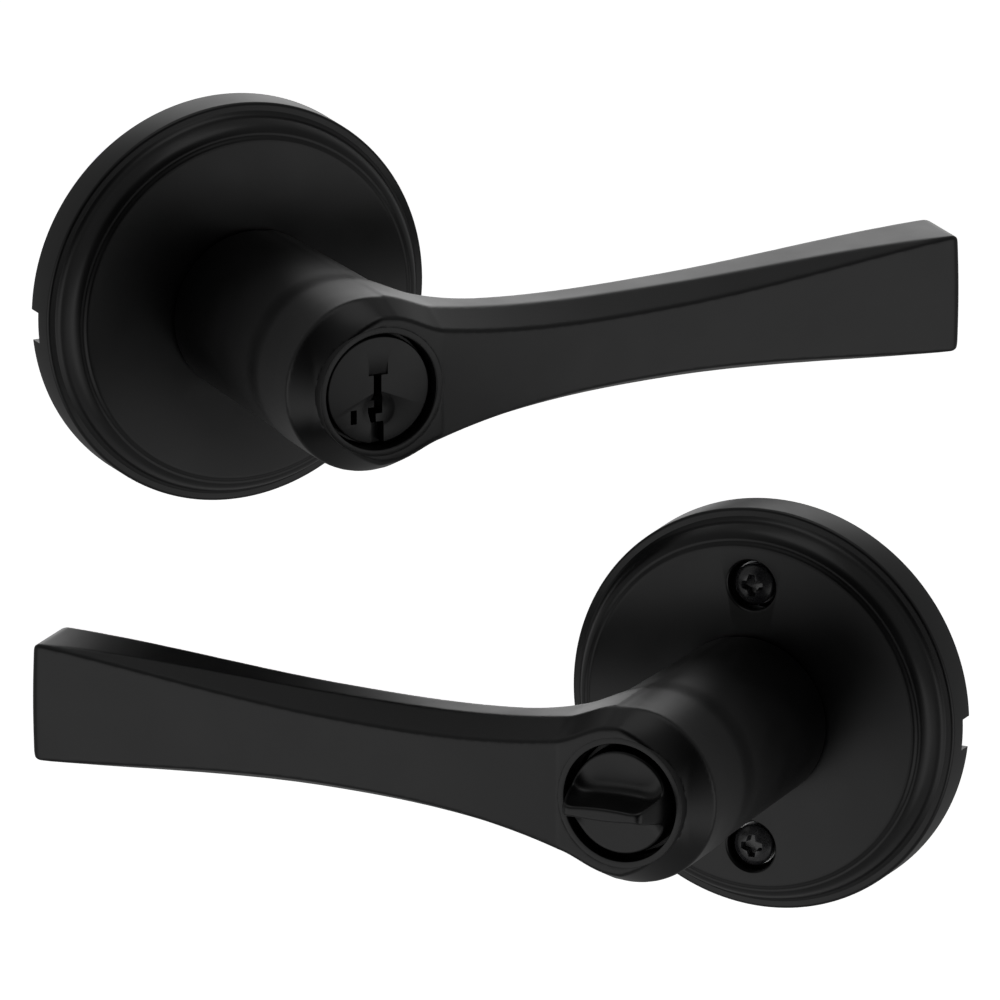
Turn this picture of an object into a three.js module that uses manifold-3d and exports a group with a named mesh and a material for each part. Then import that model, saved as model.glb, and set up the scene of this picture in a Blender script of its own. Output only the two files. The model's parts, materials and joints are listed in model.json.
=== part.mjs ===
// Keyed lever handle lockset: the outside half, with its lock cylinder, and the inside half,
// with its turn button and mounting screws, laid side by side and facing the same way.
//
// Millimetres, +Z up. The origin is on the outside half's spindle axis, where it meets the door.
// Inside each half's own group +X or -X runs along the lever and -Y runs out of the door face,
// and a height "off the door" below is a distance along -Y.

import * as THREE from 'three';
import { mergeVertices } from 'three/addons/utils/BufferGeometryUtils.js';
import Module from 'manifold-3d';

const wasm = await Module();
wasm.setup();

// ---------------------------------------------------------------- driving dimensions

const splayAngle = THREE.MathUtils.degToRad(24.1);
const insideHalfPlace = new THREE.Vector3(104.8, -90, -53.6);

const gap = 0.3;

const roseRadius = 39;
const roseRimRadius = 38.3;
const roseHeight = 13.4;
const roseRimHeight = 7.4;
const roseRingRadius = 33.2;
const roseWall = 1.3;
const roseHoleRadius = 13.6;
const notchWidth = 6;
const notchDepth = 3;
const notchDrop = 1.7;

const screwSpacing = 51;
const screwHoleRadius = 4.85;
const screwHeadRadius = 3.95;
const screwShankRadius = 1.9;
const postRadius = 3.7;
const postReach = 21;
const screwReach = 25;
const doorReach = 33;

const plateLow = 0.6;
const plateHigh = 2.6;
const bossRadius = 4.4;
const bossHigh = 10.2;
const housingRadius = 20.8;
const housingWall = 1.2;
const housingTop = 9.6;
const springWire = 0.75;
const springTurns = 1.65;
const driverRadius = 15;
const driverTop = 7.4;

const leverHeight = 74.5;
const leverLength = 127.7;
const headRadius = 17.3;
const neckRadius = 16.1;
const collarRadius = 12.6;
const boreRadius = 11.35;
const ridgeHeight = 64.4;
const ridgeTilt = THREE.MathUtils.degToRad(3.4);
const bevelSlope = 0.32;
const gripRoot = 13;
const waistDistance = 66;
const waistHalf = 9.2;
const tipHalf = 11.4;
const tipHeight = 58.6;
const gripThickness = 13.8;
const backStart = 30;
const backHeight = 56.6;
const catchRadius = 1.6;
const catchHeight = 24;

const sleeveOuterRadius = 12.2;
const sleeveInnerRadius = 10.6;
const neckHollowRadius = 12.5;
const neckHollowTop = 36;

const plugFaceRadius = 10.5;
const plugFaceHeight = 73.6;
const plugRadius = 6.8;
const plugRear = 39;
const stemRadius = 5;
const stemTop = 41.7;
const housingRear = 42;
const waferCount = 5;
const waferPitch = 3.8;
const waferThickness = 0.7;

const buttonRadius = 10.3;
const buttonHeight = 83.4;
const buttonFloor = 74.3;
const bladeHalf = 1.8;
const scoopHalf = 8.3;
const scoopCorner = 3.4;

const tubeRadius = 6.2;
const tubeWall = 1.4;
const tubeOpening = 0.6;
const tubeTop = 30;
const barHalfWidth = 2.2;
const barHalfThickness = 0.8;

// ---------------------------------------------------------------- materials

function material(color, roughness, metalness) {
  return new THREE.MeshStandardMaterial({ color, roughness, metalness });
}

const satinBlack = material(0x17181a, 0.46, 0.55);
const glossBlack = material(0x101113, 0.22, 0.6);
const platedSteel = material(0xaeb2b5, 0.38, 0.9);
const springSteel = material(0x7d8286, 0.34, 0.95);
const brass = material(0xc4a45c, 0.35, 0.9);

// ---------------------------------------------------------------- solids

// A closed geometry as a solid: shared corners are merged and triangles of no area left out.
function solid(geometry) {
  geometry.deleteAttribute('normal');
  geometry.deleteAttribute('uv');
  const merged = mergeVertices(geometry, 1e-4);
  const corners = merged.index.array;
  const kept = [];
  for (let i = 0; i < corners.length; i += 3) {
    const [a, b, c] = corners.slice(i, i + 3);
    if (a !== b && b !== c && c !== a) kept.push(a, b, c);
  }
  const vertProperties = new Float32Array(merged.attributes.position.array);
  const triVerts = new Uint32Array(kept);
  return new wasm.Manifold(new wasm.Mesh({ numProp: 3, vertProperties, triVerts }));
}

function geometryOf(body) {
  const mesh = body.getMesh();
  const geometry = new THREE.BufferGeometry();
  geometry.setAttribute('position', new THREE.BufferAttribute(mesh.vertProperties, 3));
  geometry.setIndex(new THREE.BufferAttribute(mesh.triVerts, 1));
  const flat = geometry.toNonIndexed();
  flat.computeVertexNormals();
  return flat;
}

// A profile of [radius, height off the door] points turned about the spindle axis. A profile
// that doesn't start and end on the axis is a ring, and closes on itself.
function turned(profile, segments = 28) {
  const onAxis = profile[0][0] === 0;
  let area = 0;
  profile.forEach(([r, n], i) => {
    const [nextR, nextN] = profile[(i + 1) % profile.length];
    area += r * nextN - nextR * n;
  });
  const ordered = area > 0 ? [...profile] : [...profile].reverse();
  if (!onAxis) ordered.push(ordered[0]);
  const points = ordered.map(([r, n]) => new THREE.Vector2(r, n));
  return solid(new THREE.LatheGeometry(points, segments).rotateX(Math.PI));
}

function ring(inner, outer, low, high, segments) {
  return turned([[inner, low], [outer, low], [outer, high], [inner, high]], segments);
}

function disc(radius, low, high, segments) {
  return turned([[0, low], [radius, low], [radius, high], [0, high]], segments);
}

// A shape drawn along the lever and upwards, made thick from one height off the door to another.
function plate(shape, low, high, options = {}) {
  const settings = { depth: high - low, bevelEnabled: false, curveSegments: 14, ...options };
  const geometry = new THREE.ExtrudeGeometry(shape, settings);
  return solid(geometry.rotateX(Math.PI / 2).translate(0, -low, 0));
}

// A shape drawn along the lever and off the door, made thick upwards and downwards.
function profilePlate(shape, halfHeight) {
  const settings = { depth: 2 * halfHeight, bevelEnabled: false };
  const geometry = new THREE.ExtrudeGeometry(shape, settings);
  return solid(geometry.translate(0, 0, -halfHeight).rotateX(Math.PI));
}

function box(along, off, up) {
  const size = [along, off, up].map(([low, high]) => high - low);
  const middle = [along, off, up].map(([low, high]) => (low + high) / 2);
  const geometry = new THREE.BoxGeometry(...size);
  return solid(geometry.translate(middle[0], -middle[1], middle[2]));
}

// A round rod parallel to the spindle, its axis at (along, up).
function rod(radius, low, high, along, up, segments = 16) {
  const geometry = new THREE.CylinderGeometry(radius, radius, high - low, segments);
  return solid(geometry.translate(along, -(low + high) / 2, up));
}

function polygon(points) {
  return new THREE.Shape(points.map(([x, y]) => new THREE.Vector2(x, y)));
}

function piece(group, name, body, look) {
  const mesh = new THREE.Mesh(geometryOf(body), look);
  mesh.name = name;
  group.add(mesh);
}

// ---------------------------------------------------------------- rose and what is under it

function arc(centre, radius, from, to, steps) {
  const points = [];
  for (let i = 0; i <= steps; i += 1) {
    const angle = THREE.MathUtils.degToRad(from + ((to - from) * i) / steps);
    points.push([centre[0] + radius * Math.cos(angle), centre[1] + radius * Math.sin(angle)]);
  }
  return points;
}

// A pressed round cover: straight rim, a fine line, a curved shoulder, a raised ring and a disc.
function rose(side, screwHoles) {
  const corner = 1.4;
  const shoulderFoot = roseRadius - 1.5;
  const discHeight = roseHeight - 0.5;
  const outside = [
    [roseRimRadius, 0],
    ...arc([roseRadius - corner, roseRimHeight - corner], corner, 0, 75, 2),
    [shoulderFoot, roseRimHeight - 0.4],
    [shoulderFoot - 0.4, roseRimHeight + 0.4],
    [shoulderFoot - 1.2, roseRimHeight + 2.6],
    [roseRingRadius + 1.2, roseHeight - 0.7],
    [roseRingRadius + 0.4, roseHeight],
    [roseRingRadius - 0.3, roseHeight],
    [roseRingRadius - 0.7, discHeight - 0.5],
    [roseRingRadius - 1.1, discHeight],
    [roseHoleRadius, discHeight],
  ];
  const inside = [
    [roseHoleRadius, discHeight - roseWall],
    [roseRingRadius - 0.6, discHeight - roseWall],
    [shoulderFoot - 2.4, roseRimHeight + 1],
    [roseRadius - roseWall, roseRimHeight - 2.4],
    [roseRimRadius - roseWall, 0],
  ];
  let body = turned([...outside, ...inside], 60);
  const halfNotch = notchWidth / 2;
  const notch = box(
    [-side * roseRadius - 6, -side * roseRadius + 6],
    [-1, notchDepth],
    [-notchDrop - halfNotch, -notchDrop + halfNotch],
  );
  body = body.subtract(notch);
  if (screwHoles) {
    for (const up of [-screwSpacing / 2, screwSpacing / 2]) {
      body = body.subtract(rod(screwHoleRadius, 5, 20, 0, up, 22));
    }
  }
  return body;
}

function mountingPlate(withBosses) {
  let body = ring(sleeveOuterRadius + 2, roseRimRadius - roseWall - 0.5, plateLow, plateHigh, 40);
  for (const up of [-screwSpacing / 2, screwSpacing / 2]) {
    if (withBosses) {
      body = body.add(rod(bossRadius, plateLow, bossHigh, 0, up));
      body = body.subtract(rod(screwShankRadius + 0.4, -1, bossHigh + 1, 0, up));
    } else {
      body = body.subtract(rod(screwShankRadius + 0.4, -1, plateHigh + 1, 0, up));
    }
  }
  return body;
}

// A threaded post on the back of the outside plate, which goes through the door.
function post(up) {
  const bored = rod(screwShankRadius + 0.4, -postReach - 1, plateLow - gap + 1, 0, up);
  return rod(postRadius, -postReach, plateLow - gap, 0, up).subtract(bored);
}

function springHousing() {
  const low = plateHigh + gap;
  const inner = housingRadius - housingWall;
  const roof = housingTop - 1;
  return turned([
    [inner, low],
    [housingRadius, low],
    [housingRadius, housingTop],
    [sleeveOuterRadius + gap, housingTop],
    [sleeveOuterRadius + gap, roof],
    [inner, roof],
  ], 26);
}

// The lever's return spring: a flat coil of round wire inside its housing.
class CoilCurve extends THREE.Curve {
  getPoint(t, target = new THREE.Vector3()) {
    const angle = t * springTurns * 2 * Math.PI;
    const radius = housingRadius - housingWall - springWire - 0.95;
    const height = plateHigh + 2 * springWire + 3.3 * t;
    return target.set(radius * Math.cos(angle), -height, radius * Math.sin(angle));
  }
}

function returnSpring() {
  const section = new THREE.Shape().absarc(0, 0, springWire, 0, 2 * Math.PI);
  const settings = { steps: 34, curveSegments: 3, extrudePath: new CoilCurve() };
  return solid(new THREE.ExtrudeGeometry(section, settings));
}

function bearing() {
  return ring(sleeveOuterRadius + gap, sleeveOuterRadius + 1.7, plateLow, plateHigh, 26);
}

// ---------------------------------------------------------------- what turns with a lever

// The upper edge of the lever's outline, from where it leaves the head to its tip.
function gripEdge() {
  const leave = THREE.MathUtils.degToRad(56);
  const start = new THREE.Vector2(headRadius * Math.cos(leave), headRadius * Math.sin(leave));
  const waist = new THREE.Vector2(waistDistance, waistHalf);
  const nearHalf = new THREE.CubicBezierCurve(
    start,
    new THREE.Vector2(start.x + 7, start.y - 3.7),
    new THREE.Vector2(36, waistHalf + 0.2),
    waist,
  );
  const farHalf = new THREE.CubicBezierCurve(
    waist,
    new THREE.Vector2(waistDistance + 22, waistHalf),
    new THREE.Vector2(leverLength - 20, tipHalf - 0.6),
    new THREE.Vector2(leverLength - 2.6, tipHalf),
  );
  return [...nearHalf.getPoints(7), ...farHalf.getPoints(5).slice(1)];
}

// The grip's outline, from inside the head. Without its tip it runs on past the end, squarely.
function gripOutline(side, withTip) {
  const edge = gripEdge();
  const points = [...edge];
  if (withTip) {
    points.push(new THREE.Vector2(leverLength - 1.2, tipHalf - 0.4));
    points.push(new THREE.Vector2(leverLength - 0.5, tipHalf - 1.4));
    points.push(new THREE.Vector2(leverLength - 0.2, tipHalf - 3));
    points.push(new THREE.Vector2(leverLength, 0));
    points.push(new THREE.Vector2(leverLength - 0.2, 3 - tipHalf));
    points.push(new THREE.Vector2(leverLength - 0.5, 1.4 - tipHalf));
    points.push(new THREE.Vector2(leverLength - 1.2, 0.4 - tipHalf));
  } else {
    points.push(new THREE.Vector2(leverLength + 20, tipHalf));
    points.push(new THREE.Vector2(leverLength + 20, -tipHalf));
  }
  points.push(...edge.map((point) => new THREE.Vector2(point.x, -point.y)).reverse());
  points.push(new THREE.Vector2(0, -gripRoot), new THREE.Vector2(0, gripRoot));
  return new THREE.Shape(points.map((point) => new THREE.Vector2(side * point.x, point.y)));
}

// The lever seen from above: the front sags back towards the door, and the back runs with it.
function leverSide(side) {
  const frontSag = new THREE.Vector2(62, 63.5);
  const end = leverLength + 1;
  const front = new THREE.QuadraticBezierCurve(
    new THREE.Vector2(collarRadius, leverHeight),
    frontSag,
    new THREE.Vector2(end, tipHeight),
  );
  const back = new THREE.QuadraticBezierCurve(
    new THREE.Vector2(end, tipHeight - gripThickness),
    new THREE.Vector2(frontSag.x, frontSag.y - gripThickness),
    new THREE.Vector2(backStart, backHeight),
  );
  const filletFoot = new THREE.Vector2(14, 40);
  const fillet = new THREE.QuadraticBezierCurve(
    new THREE.Vector2(backStart, backHeight),
    new THREE.Vector2(17, 56),
    filletFoot,
  );
  const points = [
    new THREE.Vector2(-1, leverHeight),
    ...front.getPoints(8),
    ...back.getPoints(8),
    ...fillet.getPoints(5).slice(1),
    new THREE.Vector2(-1, filletFoot.y),
  ];
  return new THREE.Shape(points.map((point) => new THREE.Vector2(side * point.x, point.y)));
}

function lever(side) {
  const drop = leverHeight - ridgeHeight + 4;
  const bevel = drop * bevelSlope;
  const front = plate(gripOutline(side, false), 30, ridgeHeight, {
    bevelEnabled: true,
    bevelThickness: drop,
    bevelSize: bevel,
    bevelOffset: -bevel,
    bevelSegments: 1,
  });
  const tilt = THREE.MathUtils.radToDeg(side * ridgeTilt);
  const tilted = front.translate([0, ridgeHeight, 0]).rotate([0, 0, tilt]);
  const bevelled = tilted.translate([0, -ridgeHeight, 0]);
  const whole = plate(gripOutline(side, true), 20, leverHeight + 1);
  const grip = bevelled.intersect(whole).intersect(profilePlate(leverSide(side), 20));
  const neck = turned([
    [0, roseHeight + gap],
    [neckRadius, roseHeight + gap],
    [headRadius, ridgeHeight - 4],
    [headRadius - 0.3, ridgeHeight + 0.6],
    [headRadius - 1.6, ridgeHeight + 3.5],
    [collarRadius + 0.4, leverHeight - 1.5],
    [collarRadius, leverHeight - 1.3],
    [collarRadius, leverHeight],
    [0, leverHeight],
  ], 44);
  let body = neck.add(grip);
  body = body.subtract(disc(boreRadius, neckHollowTop - 1, leverHeight + 5, 36));
  body = body.subtract(disc(neckHollowRadius, 0, neckHollowTop, 28));
  return body.subtract(catchRod(catchRadius + gap, 10, 20));
}

// A round rod across the neck's underside, where the catch holds the lever on its sleeve.
function catchRod(radius, from, to) {
  const geometry = new THREE.CylinderGeometry(radius, radius, to - from, 12);
  return solid(geometry.rotateX(Math.PI / 2).translate(0, -catchHeight, -(from + to) / 2));
}

function leverCatch() {
  return catchRod(catchRadius, neckHollowRadius, neckRadius - 0.8);
}

function sleeve() {
  const low = plateLow + gap;
  return ring(sleeveInnerRadius, sleeveOuterRadius, low, neckHollowTop - 2, 26);
}

// The ring on the sleeve that winds the return spring, with its lug.
function driver() {
  const inner = sleeveOuterRadius + gap;
  const low = plateHigh + 0.9;
  const collar = ring(inner, driverRadius, low, driverTop, 24);
  return collar.add(box([driverRadius - 1, driverRadius + 1.6], [low, driverTop], [-2, 2]));
}

function retainingRing() {
  const low = housingTop + 0.4;
  return ring(sleeveOuterRadius + gap, sleeveOuterRadius + 2.2, low, low + 0.9, 24);
}

// The split tube that works the latch from the outside lever.
function driveTube() {
  const inner = tubeRadius - tubeWall;
  const section = new THREE.Shape();
  section.absarc(0, 0, tubeRadius, tubeOpening, 2 * Math.PI - tubeOpening, false);
  section.absarc(0, 0, inner, 2 * Math.PI - tubeOpening, tubeOpening, true);
  const tube = plate(section, -doorReach, tubeTop, { curveSegments: 12 });
  return tube.add(ring(inner, sleeveInnerRadius - gap, tubeTop - 2, tubeTop, 24));
}

function bushing(high) {
  return ring(plugRadius + gap, boreRadius - 0.35, housingRear, high, 26);
}

// ---------------------------------------------------------------- lock cylinder

function keyway() {
  return polygon([
    [-0.95, 3.05], [0.65, 3.05], [0.65, -0.6], [1.0, -1.6], [1.0, -4.7], [-0.35, -4.7],
    [-0.35, -6.2], [1.1, -6.2], [1.1, -12], [-1.5, -12], [-1.5, -6.4], [-2.0, -4.2],
    [-2.0, -3.4], [-0.7, -3.4], [-0.7, -2.0], [-1.5, -2.0], [-0.95, -0.9],
  ]);
}

function waferPlace(index) {
  return plugFaceHeight - 8 - index * waferPitch;
}

function plug() {
  const faceLow = plugFaceHeight - 2.9;
  let body = turned([
    [0, plugRear], [stemRadius, plugRear], [stemRadius, stemTop], [plugRadius, stemTop],
    [plugRadius, faceLow],
    [plugFaceRadius, faceLow], [plugFaceRadius, plugFaceHeight - 0.4],
    [plugFaceRadius - 0.4, plugFaceHeight], [0, plugFaceHeight],
  ], 32);
  body = body.subtract(plate(keyway(), 43.5, 80));
  body = body.subtract(box([-5.7, -4.45], [60, 80], [-6.2, -3.45]));
  for (let i = 0; i < waferCount; i += 1) {
    const middle = waferPlace(i);
    const half = waferThickness / 2 + gap;
    body = body.subtract(box([-2.7, 2.7], [middle - half, middle + half], [-7.5, 3.9]));
  }
  return body.subtract(box([4.6, 8], [45.5, 67.5], [-0.9, 0.9]));
}

// A flat wafer with the window that the key passes through, each set at its own height.
function wafer(index) {
  const middle = waferPlace(index);
  const half = waferThickness / 2;
  const lift = 0.35 * ((index * 2) % waferCount);
  const body = box([-2.4, 2.4], [middle - half, middle + half], [-5.2, 3.6]);
  return body.subtract(box([-1.4, 1.4], [middle - 2, middle + 2], [-3.8 + lift, lift]));
}

function sidebar() {
  return box([4.9, 6.6], [46, 67], [-0.6, 0.6]);
}

function clip() {
  const shape = new THREE.Shape();
  const opening = 0.5;
  shape.absarc(0, 0, plugRadius + 1.8, opening, 2 * Math.PI - opening, false);
  shape.absarc(0, 0, stemRadius + gap, 2 * Math.PI - opening, opening, true);
  return plate(shape, stemTop - 1.4, stemTop - 0.4, { curveSegments: 10 });
}

function flatBar(high) {
  return box(
    [-barHalfWidth, barHalfWidth],
    [-doorReach, high],
    [-barHalfThickness, barHalfThickness],
  );
}

// ---------------------------------------------------------------- turn button and screws

// The outline of the scoop above the blade, or below it: straight along the blade and turned
// up at both ends, where the blade spreads out to the cap's edge.
function scoop(direction) {
  const shape = new THREE.Shape();
  const far = buttonRadius + 2;
  const corner = bladeHalf + scoopCorner;
  shape.moveTo(-scoopHalf, direction * far);
  shape.lineTo(-scoopHalf, direction * corner);
  const inner = scoopHalf - scoopCorner;
  shape.quadraticCurveTo(-scoopHalf, direction * bladeHalf, -inner, direction * bladeHalf);
  shape.lineTo(inner, direction * bladeHalf);
  shape.quadraticCurveTo(scoopHalf, direction * bladeHalf, scoopHalf, direction * corner);
  shape.lineTo(scoopHalf, direction * far);
  return shape;
}

// A round cap with a scoop above and below, which leave a blade to grip between them.
function turnButton() {
  const capLow = buttonFloor - 6;
  let body = turned([
    [0, plugRear], [stemRadius, plugRear], [stemRadius, stemTop], [plugRadius, stemTop],
    [plugRadius, capLow], [buttonRadius, capLow], [buttonRadius, buttonFloor],
    [buttonRadius - 1.7, buttonHeight - 1], [buttonRadius - 2.5, buttonHeight],
    [0, buttonHeight],
  ], 32);
  for (const direction of [-1, 1]) {
    const cut = plate(scoop(direction), buttonFloor, buttonHeight + 1, { curveSegments: 5 });
    body = body.subtract(cut);
  }
  return body;
}

// An oval-head machine screw with a cross recess.
function screw(up) {
  const low = bossHigh + gap;
  const head = low + 1.3;
  const dome = low + 2.5;
  let body = turned([
    [0, -screwReach], [screwShankRadius, -screwReach], [screwShankRadius, low],
    [screwHeadRadius, low], [screwHeadRadius, head], [screwHeadRadius * 0.72, dome - 0.4],
    [0, dome],
  ], 20);
  const long = 2.3;
  const wide = 0.5;
  body = body.subtract(box([-long, long], [low + 0.8, 20], [-wide, wide]));
  body = body.subtract(box([-wide, wide], [low + 0.8, 20], [-long, long]));
  return body.translate([0, 0, up]);
}

// ---------------------------------------------------------------- the two halves

function outsideHalf() {
  const half = new THREE.Group();
  piece(half, 'rose_outside', rose(1, false), satinBlack);
  piece(half, 'mounting_plate_outside', mountingPlate(false), platedSteel);
  piece(half, 'post_upper', post(screwSpacing / 2), platedSteel);
  piece(half, 'post_lower', post(-screwSpacing / 2), platedSteel);
  piece(half, 'spring_housing_outside', springHousing(), platedSteel);
  piece(half, 'return_spring_outside', returnSpring(), springSteel);
  piece(half, 'bearing_outside', bearing(), brass);
  piece(half, 'lever_outside', lever(1), satinBlack);
  piece(half, 'sleeve_outside', sleeve(), platedSteel);
  piece(half, 'driver_outside', driver(), platedSteel);
  piece(half, 'retaining_ring_outside', retainingRing(), springSteel);
  piece(half, 'lever_catch_outside', leverCatch(), platedSteel);
  piece(half, 'drive_tube', driveTube(), platedSteel);
  piece(half, 'cylinder_housing', bushing(plugFaceHeight - 3.3), satinBlack);
  piece(half, 'plug', plug(), satinBlack);
  for (let i = 0; i < waferCount; i += 1) {
    piece(half, `wafer_${i + 1}`, wafer(i), springSteel);
  }
  piece(half, 'sidebar', sidebar(), platedSteel);
  piece(half, 'plug_clip', clip(), springSteel);
  piece(half, 'tailpiece', flatBar(plugRear - gap), platedSteel);
  half.rotation.z = splayAngle;
  return half;
}

function insideHalf() {
  const half = new THREE.Group();
  piece(half, 'rose_inside', rose(-1, true), satinBlack);
  piece(half, 'mounting_plate_inside', mountingPlate(true), platedSteel);
  piece(half, 'screw_upper', screw(screwSpacing / 2), glossBlack);
  piece(half, 'screw_lower', screw(-screwSpacing / 2), glossBlack);
  piece(half, 'spring_housing_inside', springHousing(), platedSteel);
  piece(half, 'return_spring_inside', returnSpring(), springSteel);
  piece(half, 'bearing_inside', bearing(), brass);
  piece(half, 'lever_inside', lever(-1), satinBlack);
  piece(half, 'sleeve_inside', sleeve(), platedSteel);
  piece(half, 'driver_inside', driver(), platedSteel);
  piece(half, 'retaining_ring_inside', retainingRing(), springSteel);
  piece(half, 'lever_catch_inside', leverCatch(), platedSteel);
  piece(half, 'button_bushing', bushing(buttonFloor - 6.4), satinBlack);
  piece(half, 'turn_button', turnButton(), satinBlack);
  piece(half, 'button_clip', clip(), springSteel);
  piece(half, 'lock_bar', flatBar(plugRear - gap), platedSteel);
  half.position.copy(insideHalfPlace);
  half.rotation.z = -splayAngle;
  return half;
}

const group = new THREE.Group();
group.add(outsideHalf(), insideHalf());

export default group;
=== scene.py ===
"""Blender scene of a keyed lever handle lockset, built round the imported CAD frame.

Each half has its own local axes, in millimetres: along its lever, up, and off the door. The
joints of the two levers say where those axes lie in the frame, which is in metres.
"""

import json
import math

import bmesh
import bpy
import numpy as np
from mathutils import Matrix, Vector

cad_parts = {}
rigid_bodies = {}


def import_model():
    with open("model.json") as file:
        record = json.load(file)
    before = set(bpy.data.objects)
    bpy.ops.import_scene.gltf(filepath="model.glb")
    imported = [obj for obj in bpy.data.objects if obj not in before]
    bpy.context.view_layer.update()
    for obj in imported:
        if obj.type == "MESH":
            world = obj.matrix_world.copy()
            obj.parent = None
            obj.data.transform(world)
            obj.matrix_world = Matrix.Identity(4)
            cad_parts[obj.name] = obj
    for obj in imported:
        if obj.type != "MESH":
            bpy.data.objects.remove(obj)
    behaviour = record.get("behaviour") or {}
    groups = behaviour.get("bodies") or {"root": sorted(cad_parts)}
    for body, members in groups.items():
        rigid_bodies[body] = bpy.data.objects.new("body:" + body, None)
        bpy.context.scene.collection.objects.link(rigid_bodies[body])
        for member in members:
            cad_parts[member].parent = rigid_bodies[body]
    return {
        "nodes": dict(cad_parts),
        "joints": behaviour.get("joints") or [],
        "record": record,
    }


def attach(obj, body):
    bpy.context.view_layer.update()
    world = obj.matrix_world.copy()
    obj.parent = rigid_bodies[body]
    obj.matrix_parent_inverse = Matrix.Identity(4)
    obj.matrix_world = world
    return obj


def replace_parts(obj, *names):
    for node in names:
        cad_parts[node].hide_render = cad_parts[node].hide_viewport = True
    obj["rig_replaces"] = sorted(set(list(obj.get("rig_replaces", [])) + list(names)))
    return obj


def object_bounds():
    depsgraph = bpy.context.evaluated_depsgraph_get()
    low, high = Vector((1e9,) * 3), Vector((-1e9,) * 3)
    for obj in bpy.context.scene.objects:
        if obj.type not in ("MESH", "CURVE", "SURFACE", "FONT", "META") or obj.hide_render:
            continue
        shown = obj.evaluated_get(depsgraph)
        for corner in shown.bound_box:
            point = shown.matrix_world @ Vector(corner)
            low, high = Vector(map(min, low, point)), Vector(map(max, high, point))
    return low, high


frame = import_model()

cad_low, cad_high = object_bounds()

MM = 0.001
SEGMENTS = 160

# Lengths are in millimetres, and a height is a distance off the door.
ROSE_RADIUS = 38.97
ROSE_HEIGHT = 13.4
DISC_HEIGHT = ROSE_HEIGHT - 0.5
RIM_HEIGHT = ROSE_HEIGHT - 6
RING_RADIUS = 33.2
ROSE_HOLE = 13.6
ROSE_WALL = 1.3

LEVER_HEIGHT = 74.5
LEVER_LENGTH = 127.7
LEVER_FOOT = 13.7
LEVER_STEP = 0.55
NECK_RADIUS = 16.1
NECK_TAPER = 55
HEAD_RADIUS = 17.0
HEAD_BEVEL = 6.0
COLLAR_RADIUS = 12.6
BORE_RADIUS = 11.35
GRIP_THICKNESS = 13.8
GRIP_START = 4.5
GRIP_FLARE = 7.45
BEVEL_START = 12
BEVEL_DEPTH = 7.1
BEVEL_SLOPE = 0.41
SAG = (62.0, 63.5)
TIP_HEIGHT = 58.6
WAIST = 66.0
WAIST_HALF = 9.2
TIP_HALF = 11.4
CATCH_HEIGHT = 24
CATCH_RADIUS = 1.9

STEM_FOOT = 39
STEM_STEP = 41.7
STEM_RADIUS = 6.8
STEM_TAIL = 5

PLUG_RADIUS = 10.5
PLUG_FACE = 73.0
PLUG_FLANGE = 2.9
WAFERS = 5
WAFER_PITCH = 3.8
WAFER_SLOT = 1.3

BUTTON_RADIUS = 10.25
BUTTON_TOP = 83.4
BUTTON_FLOOR = 74.3
BUTTON_FOOT = 68.4
BUTTON_STEP = 0.22

SCREW_OFFSET = 25.5
SCREW_HOLE = 4.85
SCREW_HEAD = 3.95
SCREW_SEAT = 10.5
SCREW_SHANK = 1.9
SCREW_END = -25
THREAD_PITCH = 0.8
POST_RADIUS = 3.7
POST_BORE = 2.0
POST_END = -21

PLATE_LOW = 0.6
PLATE_HIGH = 2.6
PLATE_HOLE = 14.2
PLATE_RADIUS = 36.5
BOSS_RADIUS = 4.4
BOSS_TOP = 10.2
WINDOW_OFFSET = 26
SLEEVE_INNER = 10.6
SLEEVE_OUTER = 12.2
SLEEVE_TOP = 34
BEARING_INNER = 12.5
BEARING_OUTER = 13.9
TUBE_OUTER = 6.2
TUBE_INNER = 4.8
TUBE_OPENING = 0.6
TUBE_TOP = 30
BAR_TOP = 38.7
DOOR_REACH = -33

PAINT_DARK = (0.0014, 0.0014, 0.0015)
PAINT_LIGHT = (0.0026, 0.0026, 0.0028)
PAINT_SPECULAR = 0.5

VIEW_ELEVATION = 16.36
VIEW_AZIMUTH = 0.34
VIEW_WIDTH = 188.6
VIEW_LENS = 1500
VIEW_SHIFT = Vector((0.4, -0.1, -1.1))
SENSOR = 36

# The studio is in metres. A soft light is its direction, the cosines of the angles from it
# where its light starts and is full, and its strength.
FLOOR_DROP = 0.1
FLOOR_SIZE = 30
FLOOR_GLOW = 0.85
VIEWER_SIDE = (0, -0.96, 0.28)
ROOM = 0.2
SOFT_LIGHTS = [
    ((0.72, -0.64, -0.28), 0.80, 0.95, 0.55),
    ((-0.72, -0.64, -0.28), 0.80, 0.95, 0.55),
    ((0, 0.96, 0.28), 0.87, 0.98, 1.0),
]
OVERHEAD_PLACE = (0.05, -0.1, 1.2)
OVERHEAD_TARGET = (0.05, -0.05, -0.02)
OVERHEAD_SIZE = 0.8
OVERHEAD_WATTS = 1


# ---------------------------------------------------------------- the two halves

class Half:
    """One half of the lockset: its local axes, and the CAD bodies of its pieces."""

    def __init__(self, suffix, lever_joint, side):
        joint = next(j for j in frame["joints"] if j["name"] == lever_joint)
        off = Vector(joint["axis"]).normalized()
        up = Vector((0, 0, 1))
        along = side * up.cross(off)
        self.suffix = suffix
        self.side = side
        self.lever_body = joint["child"]
        self.fixed_body = joint["parent"]
        turns = Matrix((along, up, off)).transposed().to_4x4()
        self.matrix = Matrix.Translation(joint["pos_m"]) @ turns @ Matrix.Scale(MM, 4)


OUTSIDE = Half("outside", "outside_lever_turn", 1)
INSIDE = Half("inside", "inside_lever_turn", -1)


# ---------------------------------------------------------------- mesh tools

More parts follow.
